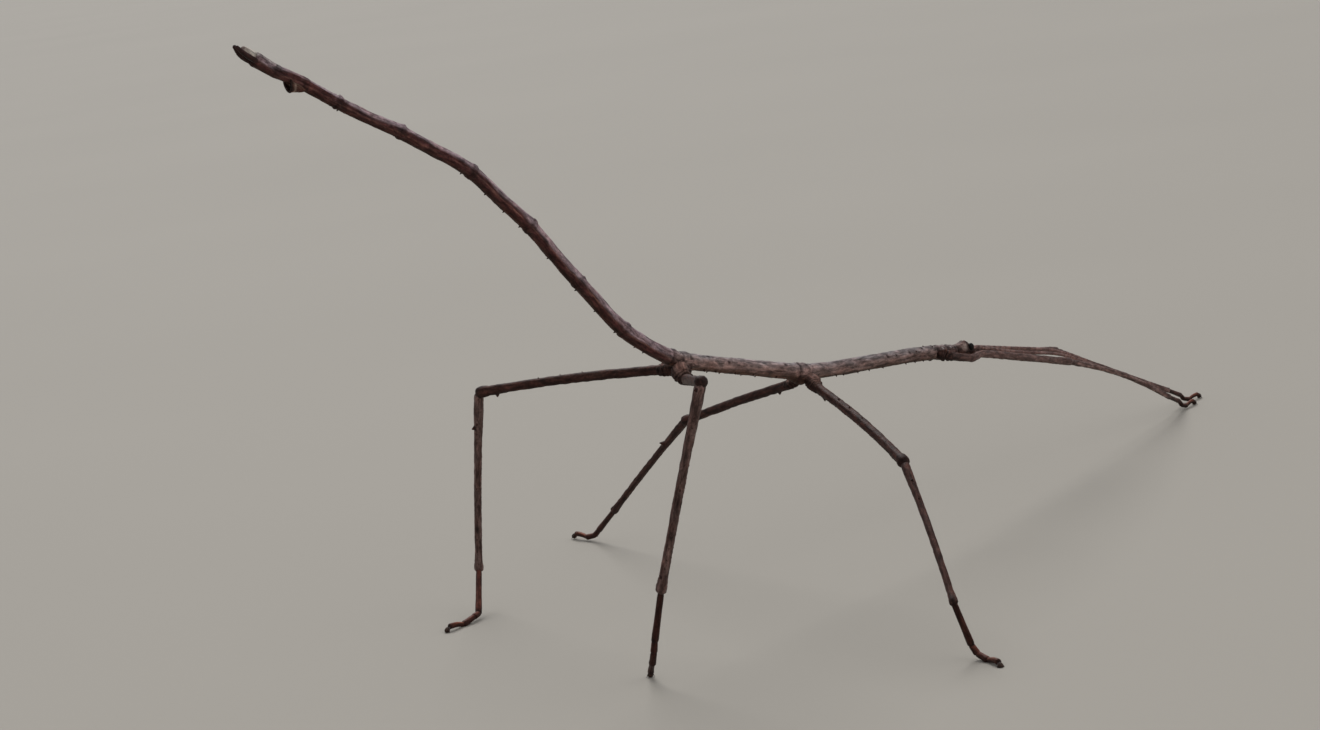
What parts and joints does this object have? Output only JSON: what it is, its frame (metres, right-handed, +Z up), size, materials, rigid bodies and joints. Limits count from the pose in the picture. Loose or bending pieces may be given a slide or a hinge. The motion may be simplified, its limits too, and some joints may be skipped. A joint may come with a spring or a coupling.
{
  "type": "stick insect",
  "caption": "Still, life-size model of a slender wingless stick insect, its abdomen raised and its forelegs stretched ahead.",
  "frame": {"origin": "on the floor, under the middle of the model's bounding box", "axes": "+X the way the head points, +Y the insect's left, +Z up"},
  "size_m": [0.1394, 0.0746, 0.0612],
  "materials": {
    "thorax": "bark-like cuticle, grey-tan on top and red-brown below",
    "abdomen": "bark-like cuticle, lilac-grey on top, dark maroon streaks below",
    "head": "fine-grained cuticle, tan cheeks and dark crown",
    "leg": "dark red-brown ridged cuticle, slightly satin",
    "foot": "near-black cuticle, satin",
    "feeler": "dark brown, finely ringed",
    "tail_plate": "dark brown cuticle with a pale rim",
    "eye": "small glossy compound eye"
  },
  "bodies": {
    "root": {"head": "head", "eye_left": "eye", "eye_right": "eye", "antenna_left": "feeler", "antenna_right": "feeler", "prothorax": "thorax", "mesothorax": "thorax", "metathorax": "thorax", "abdomen_2": "abdomen", "abdomen_3": "abdomen", "abdomen_4": "abdomen", "abdomen_5": "abdomen", "abdomen_6": "abdomen", "abdomen_7": "abdomen", "abdomen_8": "abdomen", "abdomen_9": "abdomen", "abdomen_10": "abdomen", "supra_anal_plate": "tail_plate", "poculum": "tail_plate", "cercus_left": "tail_plate", "cercus_right": "tail_plate", "coxa_hind_left": "leg", "femur_hind_left": "leg", "tibia_hind_left": "leg", "tarsus_hind_left": "foot", "coxa_hind_right": "leg", "femur_hind_right": "leg", "tibia_hind_right": "leg", "tarsus_hind_right": "foot", "coxa_mid_left": "leg", "femur_mid_left": "leg", "tibia_mid_left": "leg", "tarsus_mid_left": "foot", "coxa_mid_right": "leg", "femur_mid_right": "leg", "tibia_mid_right": "leg", "tarsus_mid_right": "foot", "coxa_fore_left": "leg", "femur_fore_left": "leg", "tibia_fore_left": "leg", "tarsus_fore_left": "foot", "coxa_fore_right": "leg", "femur_fore_right": "leg", "tibia_fore_right": "leg", "tarsus_fore_right": "foot"}
  },
  "joints": []
}
